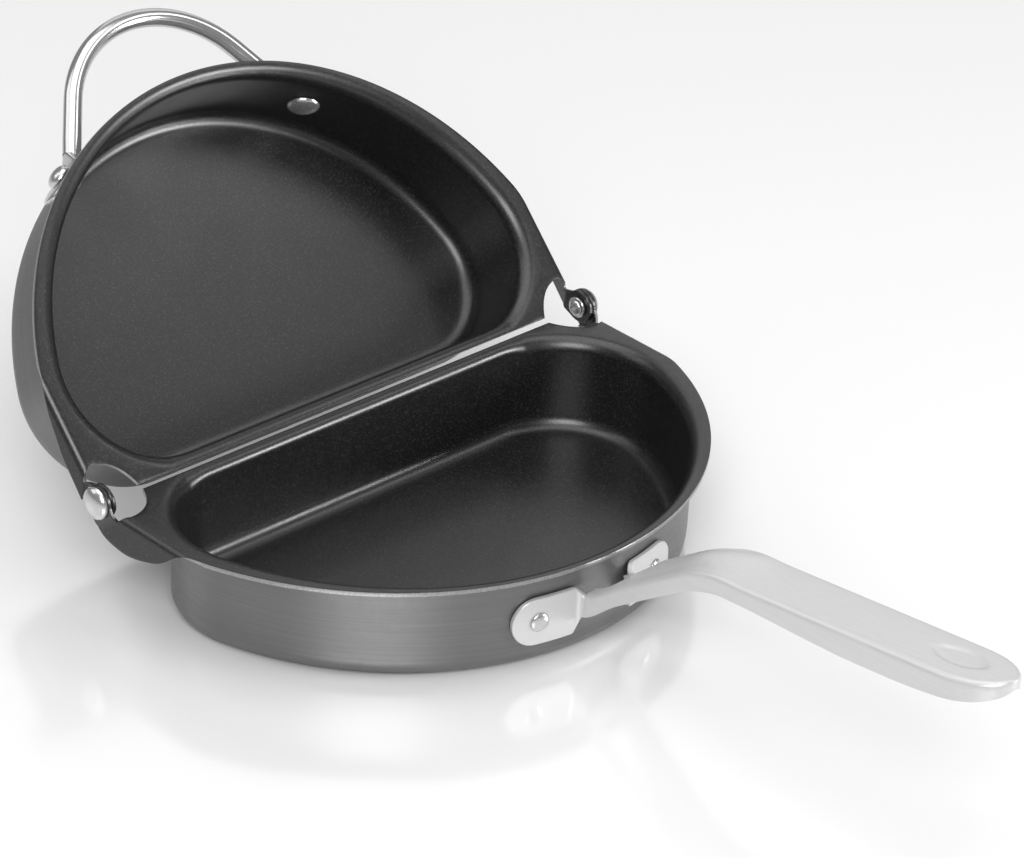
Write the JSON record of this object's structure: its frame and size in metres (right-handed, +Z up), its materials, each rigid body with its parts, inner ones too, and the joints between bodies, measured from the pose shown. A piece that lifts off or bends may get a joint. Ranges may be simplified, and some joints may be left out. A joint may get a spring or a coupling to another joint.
{
  "type": "double sided flip pan",
  "caption": "Hinged pair of matching D-shaped frying pans that fold face to face, with a long steel handle on the lower half and a steel loop handle on the upper half.",
  "frame": {"origin": "middle of the lower pan's flat base, on the surface it stands on", "axes": "+X along the hinge, +Y from the long handle towards the hinge, +Z up"},
  "size_m": [0.2464, 0.4469, 0.1471],
  "materials": {
    "pan_coating": "pressed aluminium, satin mid grey outside, dark speckled non-stick coating inside",
    "handle_steel": "satin stainless steel",
    "loop_steel": "polished stainless steel rod",
    "rivet_steel": "bright rivet steel"
  },
  "bodies": {
    "lower_half": {"lower_pan": "pan_coating", "long_handle": "handle_steel", "hinge_rivet_left": "rivet_steel", "hinge_rivet_right": "rivet_steel", "hinge_washer_left": "rivet_steel", "hinge_washer_right": "rivet_steel", "long_handle_rivet_left": "rivet_steel", "long_handle_rivet_right": "rivet_steel"},
    "upper_half": {"upper_pan": "pan_coating", "loop_handle": "loop_steel", "loop_handle_rivet_left": "rivet_steel", "loop_handle_rivet_right": "rivet_steel"}
  },
  "joints": [
    {"name": "pan_hinge", "type": "hinge", "parent": "lower_half", "child": "upper_half", "pos_m": [0, 0.0673, 0.04037], "axis": [1, 0, 0], "range_deg": [-45.31, 134.69]}
  ]
}
